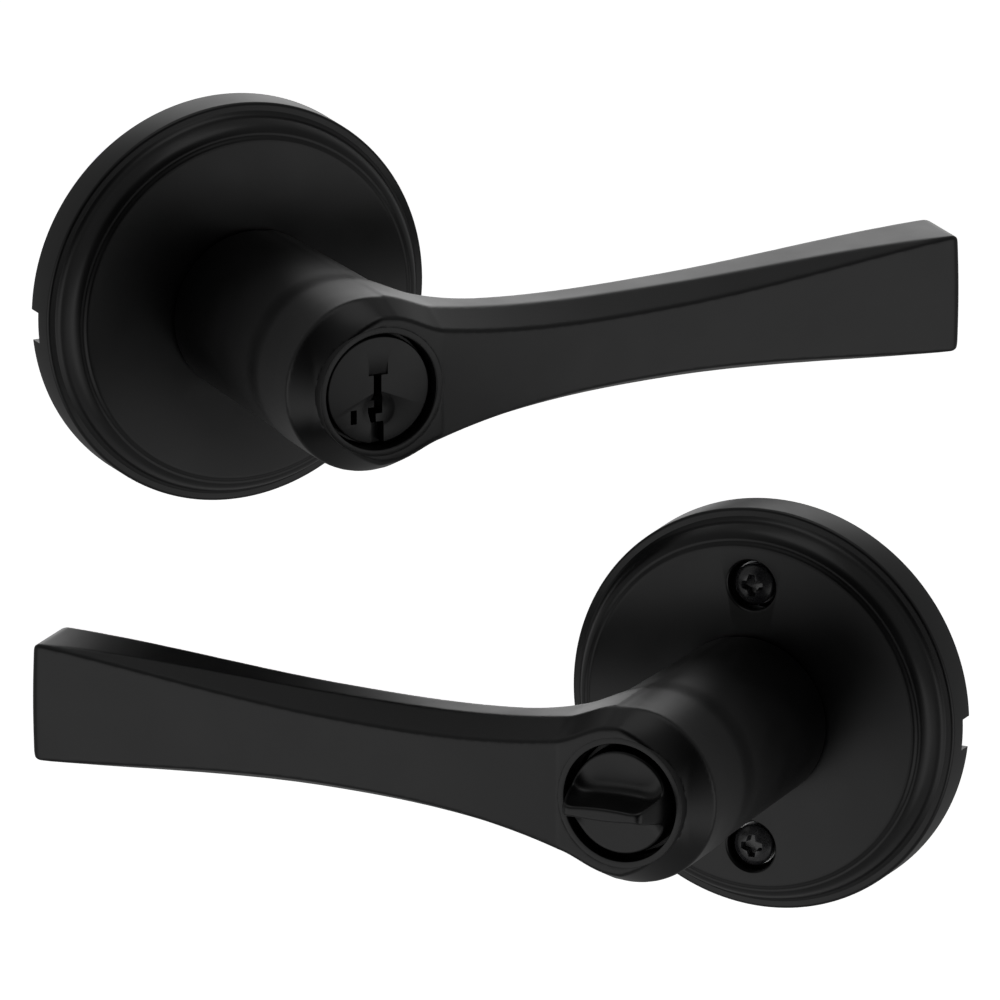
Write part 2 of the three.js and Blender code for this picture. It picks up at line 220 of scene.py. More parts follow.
def new_piece(name, points, faces, sharp=30):
    """A mesh object in a half's local axes, smooth but for edges over the sharp angle."""
    mesh = bpy.data.meshes.new(name)
    mesh.from_pydata(points, [], faces)
    mesh.validate()
    piece = bpy.data.objects.new(name, mesh)
    bpy.context.scene.collection.objects.link(piece)
    shade(piece, sharp)
    return piece


def shade(piece, sharp):
    """Smooth shading, with a crease at each edge over the sharp angle in degrees."""
    piece.data.shade_smooth()
    piece.data.set_sharp_from_angle(angle=math.radians(sharp))


def finish_piece(piece, half, body, material, replaces=()):
    """Puts a piece made in local axes in its place, and says what it is."""
    piece.data.transform(half.matrix)
    if half.side < 0:
        piece.data.flip_normals()
    piece.data.materials.clear()
    piece.data.materials.append(material)
    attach(piece, body)
    if replaces:
        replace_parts(piece, *replaces)


def arc(centre, radius, start, end, steps):
    """Points of an arc in (radius, height), from one angle in degrees to another."""
    angles = np.radians(np.linspace(start, end, steps + 1))
    return [(centre[0] + radius * math.cos(a), centre[1] + radius * math.sin(a)) for a in angles]


def curve_through(points, steps):
    """A smooth line through a few points, as a Catmull-Rom spline."""
    line = [np.array(p, float) for p in points]
    line = [2 * line[0] - line[1], *line, 2 * line[-1] - line[-2]]
    made = []
    for a, b, c, d in zip(line, line[1:], line[2:], line[3:]):
        for t in np.linspace(0, 1, steps, endpoint=False):
            made.append(tuple(0.5 * (2 * b + (c - a) * t + (2 * a - 5 * b + 4 * c - d) * t * t
                                     + (3 * b - a - 3 * c + d) * t ** 3)))
    made.append(tuple(points[-1]))
    return made


def lathe(name, profile, segments=SEGMENTS, sharp=30):
    """A profile of (radius, height) points turned about the axis. It starts and ends on the
    axis, or else closes on itself."""
    closed = profile[0][0] > 0
    points, rings = [], []
    for radius, height in profile:
        if radius == 0:
            rings.append([len(points)] * segments)
            points.append((0, 0, height))
            continue
        rings.append(list(range(len(points), len(points) + segments)))
        for i in range(segments):
            angle = 2 * math.pi * i / segments
            points.append((radius * math.cos(angle), radius * math.sin(angle), height))
    pairs = list(zip(rings, rings[1:] + rings[:1])) if closed else list(zip(rings, rings[1:]))
    faces = []
    for low, high in pairs:
        for i in range(segments):
            j = (i + 1) % segments
            corners = [low[i], low[j], high[j], high[i]]
            faces.append(list(dict.fromkeys(corners)))
    piece = new_piece(name, points, faces, sharp)
    face_outward(piece)
    return piece


def prism(name, outline, low, high):
    """An outline of (along, up) points made thick from one height to another."""
    n = len(outline)
    points = [(x, y, low) for x, y in outline] + [(x, y, high) for x, y in outline]
    faces = [list(range(n)), list(range(n, 2 * n))]
    faces += [[i, (i + 1) % n, (i + 1) % n + n, i + n] for i in range(n)]
    piece = new_piece(name, points, faces)
    face_outward(piece)
    return piece


def face_outward(piece):
    """Turns every face of a closed mesh outward."""
    work = bmesh.new()
    work.from_mesh(piece.data)
    bmesh.ops.recalc_face_normals(work, faces=work.faces)
    work.to_mesh(piece.data)
    work.free()


def rectangle(x_low, x_high, y_low, y_high):
    """The corners of a rectangle, in order round it."""
    return [(x_low, y_low), (x_high, y_low), (x_high, y_high), (x_low, y_high)]


def settle(piece, sharp=30):
    """Applies a piece's modifiers to its mesh."""
    graph = bpy.context.evaluated_depsgraph_get()
    mesh = bpy.data.meshes.new_from_object(piece.evaluated_get(graph))
    piece.modifiers.clear()
    piece.data = mesh
    shade(piece, sharp)


def carve(piece, cutters, operation="DIFFERENCE", sharp=30):
    """Cuts each cutter from a piece, or joins it on, and removes the cutter."""
    for cutter in cutters:
        change = piece.modifiers.new("change", "BOOLEAN")
        change.object = cutter
        change.operation = operation
        change.solver = "EXACT"
    settle(piece, sharp)
    for cutter in cutters:
        bpy.data.objects.remove(cutter)


def soften(piece, width, segments=2):
    """Rounds a piece's sharp edges."""
    bevel = piece.modifiers.new("edges", "BEVEL")
    bevel.width = width
    bevel.segments = segments
    bevel.limit_method = "ANGLE"
    bevel.angle_limit = math.radians(35)
    bevel.use_clamp_overlap = True
    settle(piece)


# ---------------------------------------------------------------- surfaces from a field

def soft_min(a, b, blend):
    """The smaller of two distances, with a rounded step between them."""
    near = np.clip(blend - np.abs(a - b), 0, None) / blend
    return np.minimum(a, b) - near * near * blend / 4


def soft_max(a, b, blend):
    """The larger of two distances, rounded in the same way."""
    return -soft_min(-a, -b, blend)


def cell_shift(index, axis, by):
    """Grid places moved along one axis."""
    moved = index.copy()
    moved[:, axis] += by
    return moved


def skin(name, field, low, high, step):
    """A closed mesh where field(x, y, z) is zero. The field is negative inside the solid.

    Each grid cell that the surface passes through gets one point, at the middle of where the
    surface crosses the cell's edges. Each crossed edge gets a face between its four cells.
    """
    lines = [np.arange(a - 1.5 * step, b + 2 * step, step) for a, b in zip(low, high)]
    grid = np.meshgrid(*lines, indexing="ij")
    value = field(*grid).astype(np.float32)
    inside = value < 0
    cells = tuple(n - 1 for n in inside.shape)
    count = np.zeros(cells, np.int8)
    for corner in np.ndindex(2, 2, 2):
        part = tuple(slice(c, c + n) for c, n in zip(corner, cells))
        count += inside[part]
    index = np.argwhere((count > 0) & (count < 8))
    number = np.full(cells, -1, np.int32)
    number[tuple(index.T)] = np.arange(len(index))

    total = np.zeros((len(index), 3))
    crossings = np.zeros(len(index))
    for axis in range(3):
        others = [a for a in range(3) if a != axis]
        for shifts in np.ndindex(2, 2):
            offset = np.zeros(3, int)
            offset[others] = shifts
            start = index + offset
            end = cell_shift(start, axis, 1)
            a, b = value[tuple(start.T)], value[tuple(end.T)]
            crossed = (a < 0) != (b < 0)
            part = np.where(crossed, a / np.where(crossed, a - b, 1), 0)
            place = start.astype(float)
            place[:, axis] += part
            total[crossed] += place[crossed]
            crossings[crossed] += 1
    origin = np.array([line[0] for line in lines])
    points = origin + step * total / crossings[:, None]

    faces = []
    for axis in range(3):
        second, third = (axis + 1) % 3, (axis + 2) % 3
        size = list(inside.shape)
        size[axis] -= 1
        here = inside[tuple(slice(0, n) for n in size)]
        there = np.roll(inside, -1, axis)[tuple(slice(0, n) for n in size)]
        start = np.argwhere(here != there)
        leaving = here[tuple(start.T)]
        corners = [start, cell_shift(start, second, -1)]
        corners.append(cell_shift(corners[1], third, -1))
        corners.append(cell_shift(start, third, -1))
        quads = np.stack([number[tuple(c.T)] for c in corners], 1)
        faces.append(quads[leaving])
        faces.append(quads[~leaving][:, ::-1])
    faces = np.concatenate(faces)
    points = settle_on(field, points, faces, step)
    return new_piece(name, points.tolist(), faces.tolist(), 180)


def settle_on(field, points, faces, step):
    """Evens out a mesh's points and moves them onto the field's surface."""
    for _ in range(3):
        total = np.zeros_like(points)
        uses = np.zeros(len(points))
        for i in range(4):
            np.add.at(total, faces[:, i], points[faces[:, (i + 1) % 4]])
            np.add.at(total, faces[:, i], points[faces[:, (i + 3) % 4]])
            np.add.at(uses, faces[:, i], 2)
        points = 0.5 * points + 0.5 * total / uses[:, None]
        for _ in range(2):
            points = step_onto(field, points, step)
    return points


def step_onto(field, points, step):
    """Moves points along the field's slope to where it is zero, by half a grid step at most."""
    reach = 0.02
    value = field(*points.T)
    slope = np.empty_like(points)
    for axis in range(3):
        shift = np.zeros(3)
        shift[axis] = reach
        slope[:, axis] = (field(*(points + shift).T) - field(*(points - shift).T)) / (2 * reach)
    size = np.maximum((slope ** 2).sum(1), 1e-6)
    move = -(value / size)[:, None] * slope
    length = np.maximum(np.linalg.norm(move, axis=1), 1e-9)
    return points + move * np.minimum(1, 0.5 * step / length)[:, None]


# ---------------------------------------------------------------- materials

def shader_of(name, metallic):
    """A new material and its shader."""
    material = bpy.data.materials.new(name)
    material.use_nodes = True
    shader = material.node_tree.nodes["Principled BSDF"]
    shader.inputs["Metallic"].default_value = metallic
    return material, shader


def noise(tree, scale, detail, stretch=(1, 1, 1)):
    """A noise pattern fixed to the object, with scale in cycles per metre."""
    place = tree.nodes.new("ShaderNodeTexCoord")
    mapping = tree.nodes.new("ShaderNodeMapping")
    mapping.inputs["Scale"].default_value = stretch
    pattern = tree.nodes.new("ShaderNodeTexNoise")
    pattern.inputs["Scale"].default_value = scale
    pattern.inputs["Detail"].default_value = detail
    tree.links.new(place.outputs["Object"], mapping.inputs["Vector"])
    tree.links.new(mapping.outputs["Vector"], pattern.inputs["Vector"])
    return pattern.outputs["Fac"]


def spread(tree, value, low, high):
    """A pattern's middle range stretched between two numbers."""
    ranged = tree.nodes.new("ShaderNodeMapRange")
    ranged.inputs["From Min"].default_value = 0.3
    ranged.inputs["From Max"].default_value = 0.7
    ranged.inputs["To Min"].default_value = low
    ranged.inputs["To Max"].default_value = high
    tree.links.new(value, ranged.inputs["Value"])
    return ranged.outputs["Result"]


def colours(tree, value, dark, light):
    """A pattern's middle range as a change from a dark colour to a light one."""
    ramp = tree.nodes.new("ShaderNodeValToRGB")
    ramp.color_ramp.elements[0].position = 0.3
    ramp.color_ramp.elements[0].color = (*dark, 1)
    ramp.color_ramp.elements[1].position = 0.7
    ramp.color_ramp.elements[1].color = (*light, 1)
    tree.links.new(value, ramp.inputs["Fac"])
    return ramp.outputs["Color"]


def bump(tree, value, strength, depth, under=None):
    """Fine relief from a pattern, over another relief if there is one."""
    node = tree.nodes.new("ShaderNodeBump")
    node.inputs["Strength"].default_value = strength
    node.inputs["Distance"].default_value = depth * MM
    tree.links.new(value, node.inputs["Height"])
    if under is not None:
        tree.links.new(under, node.inputs["Normal"])
    return node.outputs["Normal"]


def satin_black_paint():
    """Satin coating on a die-cast part: a slight cloudiness and a very fine grain."""
    material, shader = shader_of("satin_black", 0)
    tree = material.node_tree
    cloud = noise(tree, 90, 3)
    grain = noise(tree, 3800, 2)
    waves = noise(tree, 420, 2)
    tree.links.new(colours(tree, cloud, PAINT_DARK, PAINT_LIGHT), shader.inputs["Base Color"])
    tree.links.new(spread(tree, cloud, 0.30, 0.36), shader.inputs["Roughness"])
    under = bump(tree, waves, 0.12, 0.01)
    tree.links.new(bump(tree, grain, 0.2, 0.006, under), shader.inputs["Normal"])
    shader.inputs["Specular IOR Level"].default_value = PAINT_SPECULAR
    return material


def gloss_black_plate():
    """Black plating on the screws: shinier, with fine scuffs from the tool."""
    material, shader = shader_of("gloss_black", 0)
    tree = material.node_tree
    cloud = noise(tree, 500, 4)
    scuffs = noise(tree, 1500, 3, (1, 1, 5))
    tree.links.new(colours(tree, cloud, (0.006, 0.006, 0.007), (0.02, 0.02, 0.021)),
                   shader.inputs["Base Color"])
    tree.links.new(spread(tree, scuffs, 0.14, 0.3), shader.inputs["Roughness"])
    tree.links.new(bump(tree, scuffs, 0.25, 0.02), shader.inputs["Normal"])
    shader.inputs["Specular IOR Level"].default_value = 0.8
    return material


def metal(name, dark, light, rough_low, rough_high, stretch):
    """Bare or plated metal with brush marks along one direction and a slow change of tone."""
    material, shader = shader_of(name, 1)
    tree = material.node_tree
    cloud = noise(tree, 130, 4)
    marks = noise(tree, 900, 3, stretch)
    tree.links.new(colours(tree, cloud, dark, light), shader.inputs["Base Color"])
    tree.links.new(spread(tree, marks, rough_low, rough_high), shader.inputs["Roughness"])
    tree.links.new(bump(tree, marks, 0.25, 0.01), shader.inputs["Normal"])
    return material


SATIN = satin_black_paint()
GLOSS = gloss_black_plate()
PLATED = metal("plated_steel", (0.5, 0.51, 0.53), (0.66, 0.66, 0.64), 0.28, 0.42, (1, 1, 12))
SPRING = metal("spring_steel", (0.26, 0.27, 0.28), (0.4, 0.41, 0.42), 0.22, 0.36, (1, 8, 1))
BRASS = metal("brass", (0.55, 0.4, 0.17), (0.68, 0.5, 0.24), 0.26, 0.4, (10, 1, 1))
MATERIALS = {
    "satin_black": SATIN,
    "gloss_black": GLOSS,
    "plated_steel": PLATED,
    "spring_steel": SPRING,
    "brass": BRASS,
}


# ---------------------------------------------------------------- rose

def rose(half, screw_holes):
    """The pressed cover: a straight rim, a flat foot, a hollow shoulder, a ring and a disc."""
    corner = 0.7
    outside = [
        (ROSE_RADIUS, 0),
        *arc((ROSE_RADIUS - corner, RIM_HEIGHT - corner), corner, 0, 88, 8),
        *curve_through([
            (ROSE_RADIUS - 1.5, RIM_HEIGHT + 0.1),
            (ROSE_RADIUS - 2.2, RIM_HEIGHT + 0.9),
            (ROSE_RADIUS - 2.7, RIM_HEIGHT + 2.4),
            (ROSE_RADIUS - 3.5, RIM_HEIGHT + 3.9),
            (RING_RADIUS + 1.3, DISC_HEIGHT - 0.8),
            (RING_RADIUS + 0.6, DISC_HEIGHT - 0.6),
            (RING_RADIUS, DISC_HEIGHT - 0.15),
            (RING_RADIUS - 0.6, DISC_HEIGHT),
        ], 7),
        (ROSE_HOLE + 0.3, DISC_HEIGHT),
        (ROSE_HOLE, DISC_HEIGHT - 0.3),
    ]
    inside = [
        (ROSE_HOLE, DISC_HEIGHT - ROSE_WALL),
        (RING_RADIUS - 0.6, DISC_HEIGHT - ROSE_WALL),
        (ROSE_RADIUS - 3.9, RIM_HEIGHT + 1),
        (ROSE_RADIUS - ROSE_WALL, RIM_HEIGHT - ROSE_WALL),
        (ROSE_RADIUS - ROSE_WALL, 0),
    ]
    sharp = 28
    piece = lathe(f"rose_{half.suffix}_shell", outside + inside, 240, sharp)
    cutters = [rim_notch()]
    if screw_holes:
        cutters += [screw_hole(up) for up in (-SCREW_OFFSET, SCREW_OFFSET)]
    carve(piece, cutters, sharp=sharp)
    finish_piece(piece, half, half.fixed_body, SATIN, [f"rose_{half.suffix}"])


def rim_notch():
    """A cutter for the slot in the rim, on the side away from the grip."""
    return prism("notch", rectangle(-45, -33, -4.7, 1.3), -1, 3)


def screw_hole(up):
    """A cutter for a hole with a rounded lip."""
    lip, below, above = 0.6, 5, DISC_HEIGHT + 0.6
    curve = arc((0, DISC_HEIGHT - 0.55), lip, 0, 80, 6)
    edge = [(SCREW_HOLE + lip - x, y) for x, y in curve]
    profile = [(0, below), (SCREW_HOLE, below), *edge, (SCREW_HOLE + 2 * lip, above), (0, above)]
    cutter = lathe("hole", profile, 72)
    cutter.data.transform(Matrix.Translation((0, up, 0)))
    return cutter


# ---------------------------------------------------------------- lever

def front_height(x):
    """How far off the door the front of the lever is. It sags back along its length, on a
    curve with three control points, and this finds the curve's height at x."""
    start, end = (COLLAR_RADIUS, LEVER_HEIGHT), (LEVER_LENGTH + 1, TIP_HEIGHT)
    square = start[0] - 2 * SAG[0] + end[0]
    slope = 2 * (SAG[0] - start[0])
    far = np.clip(x, start[0], end[0])
    t = (np.sqrt(slope * slope - 4 * square * (start[0] - far)) - slope) / (2 * square)
    return (1 - t) ** 2 * start[1] + 2 * t * (1 - t) * SAG[1] + t * t * end[1]


def grip_half(x):
    """Half the height of the grip: narrowest at its waist, wider at the head and the tip."""
    near = np.clip(1 - x / WAIST, 0, 1.2)
    far = np.clip((x - WAIST) / (LEVER_LENGTH - WAIST), 0, 1)
    widening = (TIP_HALF - WAIST_HALF) * far * far * (3 - 2 * far)
    return WAIST_HALF + GRIP_FLARE * near ** 2.66 + widening


def bevel_drop(x):
    """How far the bevel runs down the side: deep at the head, and gone at the tip."""
    run = np.clip((x - BEVEL_START) / (LEVER_LENGTH - BEVEL_START), 0, 1)
    return BEVEL_DEPTH * (1 - run ** 2.9)


def lever_sides(x, y, z, front):
    """The round neck joined to the grip, with the grip's back hollowed away from the door."""
    taper = (z - LEVER_FOOT) / NECK_TAPER
    neck = np.hypot(x, y) - np.clip(NECK_RADIUS + taper, NECK_RADIUS, HEAD_RADIUS)
    grip = np.maximum(np.abs(y) - grip_half(x), GRIP_START - x)
    sides = soft_min(neck, grip, 2.5)
    back = soft_min(neck, front - GRIP_THICKNESS - z, 13)
    return soft_max(sides, back, 1.3)


def lever_bevel(x, y, z, front):
    """The bevel along the grip's edges, which goes round the head as a cone. The cone is
    flatter on the side away from the grip. Both are scaled to be nearly true distances."""
    slope = 0.45 + 0.7 * np.clip(-x / COLLAR_RADIUS, 0, 1)
    cone = np.hypot(x, y) - HEAD_RADIUS + slope * (z - LEVER_HEIGHT + HEAD_BEVEL)
    cone = cone / np.sqrt(1 + slope * slope)
    edge = np.abs(y) - grip_half(x) + BEVEL_SLOPE * (z - front + bevel_drop(x))
    bevel = 0.92 * np.maximum(edge, GRIP_START - x)
    return soft_min(cone, bevel, 2)


def lever_field(x, y, z):
    """The lever's solid, with the bore for the collar and a dent for the catch."""
    front = front_height(x) - 0.05
    body = lever_sides(x, y, z, front)
    body = soft_max(body, lever_bevel(x, y, z, front), 0.2)
    body = soft_max(body, z - front, 0.5)
    tip = x - LEVER_LENGTH + 0.3 * (y / TIP_HALF) ** 2
    body = soft_max(body, tip, 2)
    body = soft_max(body, LEVER_FOOT - z, 0.8)
    bore = COLLAR_RADIUS - 0.7 - np.hypot(x, y)
    body = soft_max(body, bore, 0.12)
    catch = np.maximum(np.hypot(x, z - CATCH_HEIGHT) - CATCH_RADIUS, y + 8)
    return soft_max(body, -catch, 0.5)


def levers():
    """Both levers. The mesh is worked out once, and the inside lever is the same, mirrored."""
    low = (-HEAD_RADIUS, -HEAD_RADIUS, LEVER_FOOT)
    high = (LEVER_LENGTH, HEAD_RADIUS, LEVER_HEIGHT)
    first = skin("lever", lever_field, low, high, LEVER_STEP)
    second = first.copy()
    second.data = first.data.copy()
    bpy.context.scene.collection.objects.link(second)
    for half, piece in ((OUTSIDE, first), (INSIDE, second)):
        piece.name = f"lever_{half.suffix}_body"
        node = f"lever_{half.suffix}"
        finish_piece(piece, half, half.lever_body, SATIN, [node])
        collar(half)


def collar(half):
    """The flat ring round the bore."""
    top, foot = LEVER_HEIGHT - 0.02, 64
    profile = [
        (BORE_RADIUS, foot),
        (COLLAR_RADIUS, foot),
        *arc((COLLAR_RADIUS - 0.1, top - 0.1), 0.1, 0, 90, 3),
        *arc((BORE_RADIUS + 0.2, top - 0.2), 0.2, 90, 180, 4),
    ]
    piece = lathe(f"lever_{half.suffix}_collar", profile)
    finish_piece(piece, half, half.lever_body, SATIN)


# ---------------------------------------------------------------- lock plug

# The keyway's outline, as (along, up) points round it.
KEYWAY = [
    (-0.95, 3.05), (0.65, 3.05), (0.65, -0.6), (1.0, -1.6), (1.0, -4.7), (-0.35, -4.7),
    (-0.35, -6.2), (1.1, -6.2), (1.1, -12), (-1.5, -12), (-1.5, -6.4), (-2.0, -4.2),
    (-2.0, -3.4), (-0.7, -3.4), (-0.7, -2.0), (-1.5, -2.0), (-0.95, -0.9),
]


def plug():
    """The part that the key turns, with its keyway, wafer slots and small tool hole."""
    flange, corner = PLUG_FACE - PLUG_FLANGE, 0.35
    profile = [
        (0, STEM_FOOT), (STEM_TAIL, STEM_FOOT), (STEM_TAIL, STEM_STEP),
        (STEM_RADIUS, STEM_STEP), (STEM_RADIUS, flange), (PLUG_RADIUS, flange),
        *arc((PLUG_RADIUS - corner, PLUG_FACE - corner), corner, 0, 90, 5),
        (0, PLUG_FACE),
    ]
    piece = lathe("plug_body", profile)
    carve(piece, [face_dimple(), face_scoop()])
    cutters = [
        prism("keyway", KEYWAY, 43.5, 80),
        prism("tool_hole", rectangle(-5.7, -4.45, -6.2, -3.45), 60, 80),
    ]
    for i in range(WAFERS):
        low = PLUG_FACE - 8 - WAFER_PITCH * i - WAFER_SLOT / 2
        cutters.append(prism("slot", rectangle(-2.7, 2.7, -7.5, 3.9), low, low + WAFER_SLOT))
    carve(piece, cutters)
    soften(piece, 0.07, 1)
    finish_piece(piece, OUTSIDE, "plug", SATIN, ["plug"])


def face_dimple():
    """A shallow round hollow that guides the key, as a cap of a large ball."""
    reach, depth = 3.45, 0.5
    ball = (reach * reach + depth * depth) / (2 * depth)
    centre = PLUG_FACE - depth + ball
    angle = math.degrees(math.asin(1.3 * reach / ball))
    cap = arc((0, centre), ball, 270, 270 + angle, 10)
    profile = [(0, cap[0][1]), *cap[1:], (0, cap[-1][1])]
    cutter = lathe("dimple", profile, 64)
    cutter.data.transform(Matrix.Translation((0.1, -3.8, 0)))
    return cutter


def face_scoop():
    """A shallow hollow above the keyway, deepest at the keyway's end."""
    width, top, bottom, depth = 1.97, 5.6, 2.9, 0.45
    face, above = PLUG_FACE, PLUG_FACE + 1
    points = [
        (-width, top, face), (width, top, face), (width, bottom, face - depth),
        (-width, bottom, face - depth), (-width, top, above), (width, top, above),
        (width, bottom, above), (-width, bottom, above),
    ]
    faces = [(0, 1, 2, 3), (4, 5, 6, 7), (0, 1, 5, 4), (1, 2, 6, 5), (2, 3, 7, 6), (3, 0, 4, 7)]
    cutter = new_piece("scoop", points, faces)
    face_outward(cutter)
    return cutter


# ---------------------------------------------------------------- turn button

def button_field(x, y, z):
    """A round cap, scooped above and below, so that a blade to grip is left between them."""
    radius = np.hypot(x, y)
    cone = (radius - BUTTON_RADIUS + 0.27 * (z - BUTTON_FLOOR - 0.5)) * 0.965
    cap = soft_max(radius - BUTTON_RADIUS, cone, 1.5)
    cap = soft_max(cap, z - BUTTON_TOP, 1.2)
    cap = soft_max(cap, BUTTON_FOOT - z, 0.5)
    blade = 1.8 - 0.06 * (z - BUTTON_FLOOR) - 0.7 * (x / 9) ** 2
    scoop = soft_max(blade - np.abs(y), np.abs(x) - 9.6, 4.5)
    scoop = soft_max(scoop, BUTTON_FLOOR - z, 2.2)
    return soft_max(cap, -scoop, 0.6)


def turn_button():
    """The cap and its stem."""
    reach = BUTTON_RADIUS
    piece = skin("turn_button_cap", button_field, (-reach, -reach, BUTTON_FOOT),
                 (reach, reach, BUTTON_TOP), BUTTON_STEP)
    body = "turn_button"
    finish_piece(piece, INSIDE, body, SATIN, ["turn_button"])
    edge, top = 0.2, BUTTON_FOOT + 0.1
    stem = lathe("turn_button_stem", [
        (0, STEM_FOOT), (STEM_TAIL - edge, STEM_FOOT), (STEM_TAIL, STEM_FOOT + edge),
        (STEM_TAIL, STEM_STEP), (STEM_RADIUS - edge, STEM_STEP),
        (STEM_RADIUS, STEM_STEP + edge), (STEM_RADIUS, top), (0, top),
    ], 72)
    finish_piece(stem, INSIDE, body, SATIN)


# ---------------------------------------------------------------- screws and posts

def threaded(name, radius, low, high, pitch, depth):
    """A rod with a helical thread cut in it, and a chamfer at its low end."""
    segments = 28
    steps = int((high - low) / pitch * 6)
    points, faces = [], []
    for i in range(steps + 1):
        height = low + (high - low) * i / steps
        for j in range(segments):
            turn = j / segments
            wave = abs(((height / pitch - turn) % 1) * 2 - 1)
            edge = min(1, (height - low) / pitch, (high - height) / pitch)
            reach = radius - depth * (1 - wave) * max(edge, 0)
            reach -= 0.35 * max(0, 1 - (height - low) / 0.5)
            angle = 2 * math.pi * turn
            points.append((reach * math.cos(angle), reach * math.sin(angle), height))
    for i in range(steps):
        for j in range(segments):
            k = (j + 1) % segments
            row, above = i * segments, (i + 1) * segments
            faces.append([row + j, row + k, above + k, above + j])
    faces.append(list(range(segments))[::-1])
    faces.append([steps * segments + j for j in range(segments)])
    return new_piece(name, points, faces, 40)


def screw(name, up):
    """An oval-head machine screw with a cross recess."""
    low, radius, edge, dome = SCREW_SEAT, SCREW_HEAD, 1.1, 2.5
    ball = (radius * radius + (dome - edge) ** 2) / (2 * (dome - edge))
    centre = low + dome - ball
    tilt = math.degrees(math.asin((radius - 0.15) / ball))
    crown = arc((0, centre), ball, 90 - tilt, 90, 14)
    profile = [(0, low), (radius - 0.5, low), (radius, low + 0.5), (radius, low + edge - 0.1),
               *crown[:-1], (0, low + dome)]
    head = lathe(f"{name}_head", profile, 64)
    carve(head, [cross_recess(low + dome)])
    soften(head, 0.1)
    shank = threaded(f"{name}_shank", SCREW_SHANK, SCREW_END, low + 0.2, THREAD_PITCH, 0.3)
    for piece in (head, shank):
        piece.data.transform(Matrix.Translation((0, up, 0)))
    finish_piece(head, INSIDE, INSIDE.fixed_body, GLOSS, [name])
    finish_piece(shank, INSIDE, INSIDE.fixed_body, GLOSS)


def cross_recess(top):
    """A cutter for the recess: a cross that narrows as it goes in."""
    arm, half, inner, outer, narrowing = 2.5, 0.72, 0.95, 1.15, 0.72
    outline = []
    for i in range(4):
        turn = math.radians(90 * i)
        for x, y in ((arm, -half), (arm, half), (outer, inner)):
            outline.append((x * math.cos(turn) - y * math.sin(turn),
                            x * math.sin(turn) + y * math.cos(turn)))
    cutter = prism("cross", outline, top - 1.9, top + 1)
    for vertex in cutter.data.vertices:
        if vertex.co.z < top:
            vertex.co.x *= narrowing
            vertex.co.y *= narrowing
    return cutter


def post(name, up):
    """A post on the back of the outside plate, threaded inside."""
    low, high, radius, bore = POST_END, 0.3, POST_RADIUS, POST_BORE
    outer = [(radius - 0.5, low), (radius, low + 0.5), (radius, high)]
    turns = int((high - low - 1.5) / THREAD_PITCH)
    thread = []
    for i in range(turns):
        height = high - THREAD_PITCH * (i + 1)
        thread += [(bore, height), (bore + 0.3, height - THREAD_PITCH / 2)]
    profile = [*outer, (bore + 0.4, high), *thread, (bore + 0.5, low)]
    piece = lathe(f"{name}_body", profile, 56)
    piece.data.transform(Matrix.Translation((0, up, 0)))
    finish_piece(piece, OUTSIDE, OUTSIDE.fixed_body, PLATED, [name])


# ---------------------------------------------------------------- plates, sleeves and bars

def mounting_plate(half, bosses):
    """The round plate inside the rose, with pressed channels, screw holes and windows."""
    low, high, inner, outer = PLATE_LOW, PLATE_HIGH, PLATE_HOLE, PLATE_RADIUS
    back = [(inner, low), (18, low), (18.8, low + 0.5), (20.2, low + 0.5), (21, low),
            (31, low), (31.6, low + 0.4), (33.2, low + 0.4), (33.8, low), (outer - 0.3, low)]
    profile = [*back, (outer, low + 0.3), (outer, high - 0.3), (outer - 0.3, high), (inner, high)]
    piece = lathe(f"mounting_plate_{half.suffix}_body", profile, 144)
    ends = [Vector((0, up, 0)) for up in (-SCREW_OFFSET, SCREW_OFFSET)]
    if bosses:
        edge = 0.3
        boss = [(0, 1.5), (BOSS_RADIUS, 1.5), (BOSS_RADIUS, BOSS_TOP - edge),
                (BOSS_RADIUS - edge, BOSS_TOP), (0, BOSS_TOP)]
        carve(piece, [placed("boss", boss, 56, end) for end in ends], "UNION")
    hole = [(0, -1), (2.9, -1), (2.9, 0.6), (2.3, 1.2), (2.3, 12), (0, 12)]
    window = [(0, -1), (2.6, -1), (2.6, 4), (0, 4)]
    cutters = [placed("hole", hole, 40, end) for end in ends]
    for turn in (35, 145, 215, 325):
        angle = math.radians(turn)
        place = WINDOW_OFFSET * Vector((math.cos(angle), math.sin(angle), 0))
        cutters.append(placed("window", window, 40, place))
    carve(piece, cutters)
    node = f"mounting_plate_{half.suffix}"
    finish_piece(piece, half, half.fixed_body, PLATED, [node])


def placed(name, profile, segments, place):
    """A turned shape moved off the axis."""
    shape = lathe(name, profile, segments)
    shape.data.transform(Matrix.Translation(place))
    return shape


def plain_ring(name, half, body, slot, inner, outer, low, high, replaces=()):
    """A ring with small chamfers."""
    edge = 0.2
    profile = [
        (inner + edge, low), (outer - edge, low), (outer, low + edge), (outer, high - edge),
        (outer - edge, high), (inner + edge, high), (inner, high - edge), (inner, low + edge),
    ]
    piece = lathe(name, profile, 96)
    finish_piece(piece, half, body, MATERIALS[slot], replaces)


def sleeve(half):
    """The tube that the lever slides onto, which turns with it."""
    name = f"sleeve_{half.suffix}"
    plain_ring(f"{name}_body", half, half.lever_body, "plated_steel",
               SLEEVE_INNER, SLEEVE_OUTER, PLATE_LOW + 0.3, SLEEVE_TOP, [name])


def bearing(half):
    """The bush in the plate that the sleeve turns in."""
    name = f"bearing_{half.suffix}"
    plain_ring(f"{name}_body", half, half.fixed_body, "brass",
               BEARING_INNER, BEARING_OUTER, PLATE_LOW, PLATE_HIGH, [name])


